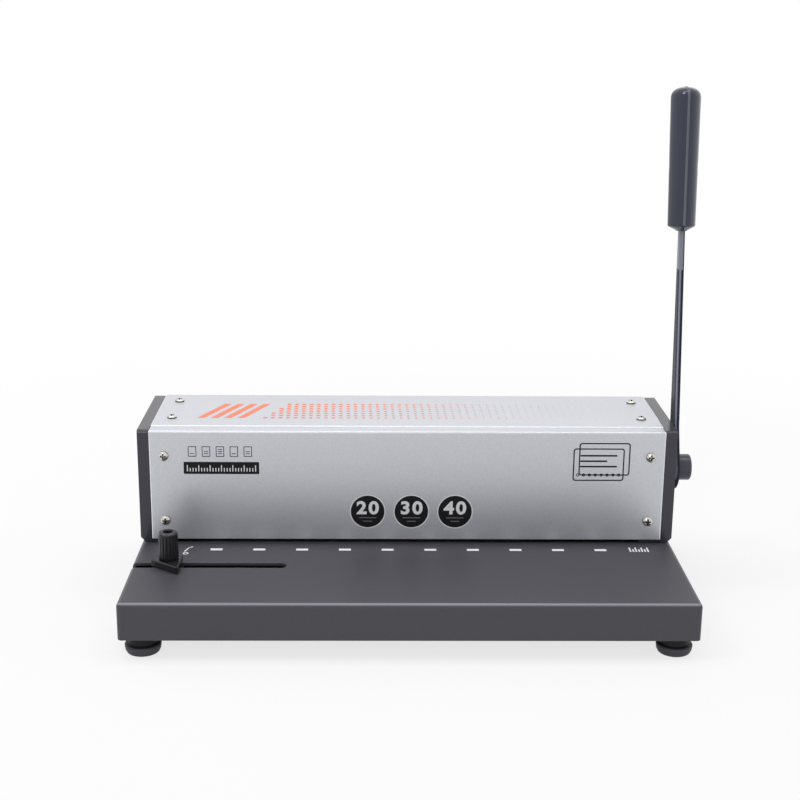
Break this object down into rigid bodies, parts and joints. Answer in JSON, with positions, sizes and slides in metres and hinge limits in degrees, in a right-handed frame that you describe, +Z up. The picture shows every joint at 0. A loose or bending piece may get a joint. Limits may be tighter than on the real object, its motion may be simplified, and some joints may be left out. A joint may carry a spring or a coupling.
{
  "type": "strip binding machine",
  "caption": "Manual desk binding punch: a side lever turns a shaft whose pinions drive a bar of rectangular punches through stripper and die; sliding paper stop, chip drawer.",
  "frame": {"origin": "on the desk under the middle of the whole machine's width and depth", "axes": "+X to the user's right along the row of punches, +Y away from the user, +Z up"},
  "size_m": [0.396, 0.208, 0.3545],
  "materials": {
    "base_paint": "fine textured powder coat",
    "cover_paint": "silver metallic paint",
    "cap_plastic": "satin",
    "grip_plastic": "moulded, half gloss",
    "knob_plastic": "moulded",
    "rubber": "matte",
    "lever_paint": "half gloss black",
    "drawer_paint": "powder coat",
    "nickel": "nickel plate",
    "bronze": "sintered bronze",
    "nylon": "natural nylon",
    "tool_steel": "ground",
    "steel": "zinc plated"
  },
  "bodies": {
    "frame": {"base_shell": "base_paint", "bottom_plate": "base_paint", "corner_posts": "steel", "foot_front_left": "rubber", "foot_front_right": "rubber", "foot_rear_left": "rubber", "foot_rear_right": "rubber", "foot_screws": "steel", "left_side_frame": "steel", "right_side_frame": "steel", "tie_bar": "steel", "tie_screws": "steel", "cover": "cover_paint", "cover_screws": "nickel", "rear_panel": "cover_paint", "rear_panel_screws": "nickel", "left_end_cap": "cap_plastic", "right_end_cap": "cap_plastic", "end_cap_screws": "nickel", "die_plate": "tool_steel", "back_stop": "tool_steel", "stripper_plate": "tool_steel", "die_bolts": "steel", "left_guide_post": "steel", "right_guide_post": "steel", "left_return_spring": "steel", "right_return_spring": "steel", "left_bush": "bronze", "right_bush": "bronze", "drawer_runners": "steel"},
    "lever": {"main_shaft": "steel", "shaft_rings": "steel", "left_pinion": "steel", "right_pinion": "steel", "pinion_pins": "steel", "lever_washer": "nylon", "lever_arm": "lever_paint", "lever_grip": "grip_plastic", "hub_bolt": "steel", "hub_cap": "grip_plastic"},
    "ram": {"punch_bar": "steel", "punch_1": "tool_steel", "punch_2": "tool_steel", "punch_3": "tool_steel", "punch_4": "tool_steel", "punch_5": "tool_steel", "punch_6": "tool_steel", "punch_7": "tool_steel", "punch_8": "tool_steel", "punch_9": "tool_steel", "punch_10": "tool_steel", "punch_retainer": "steel", "left_rack": "steel", "right_rack": "steel", "ram_screws": "steel"},
    "stop_slide": {"guide_bolt": "steel", "slide_plate": "steel"},
    "stop": {"stop_block": "knob_plastic"},
    "knob": {"guide_knob": "knob_plastic"},
    "drawer": {"chip_drawer": "drawer_paint"}
  },
  "joints": [
    {"name": "lever_turn", "type": "hinge", "parent": "frame", "child": "lever", "pos_m": [0, 0.041, 0.084], "axis": [1, 0, 0], "range_deg": [0, 90]},
    {"name": "ram_slide", "type": "slide", "parent": "frame", "child": "ram", "axis": [0, 0, -1], "range_m": [0, 0.0158], "stiffness_N_per_m": 700, "springref_m": -0.02, "deforming": ["left_return_spring", "right_return_spring"]},
    {"name": "stop_slide_move", "type": "slide", "parent": "frame", "child": "stop_slide", "axis": [1, 0, 0], "range_m": [-0.011, 0.075]},
    {"name": "stop_swivel", "type": "hinge", "parent": "stop_slide", "child": "stop", "pos_m": [-0.17225, -0.0395, 0.0418], "axis": [0, 0, 1], "range_deg": [-30, 30]},
    {"name": "knob_turn", "type": "hinge", "parent": "stop_slide", "child": "knob", "pos_m": [-0.17225, -0.0395, 0.054], "axis": [0, 0, 1], "continuous": true},
    {"name": "drawer_slide", "type": "slide", "parent": "frame", "child": "drawer", "axis": [-1, 0, 0], "range_m": [0, 0.22]}
  ],
  "couplings": [
    {"joint": "ram_slide", "follows": "lever_turn", "m_per_rad": 0.01}
  ]
}
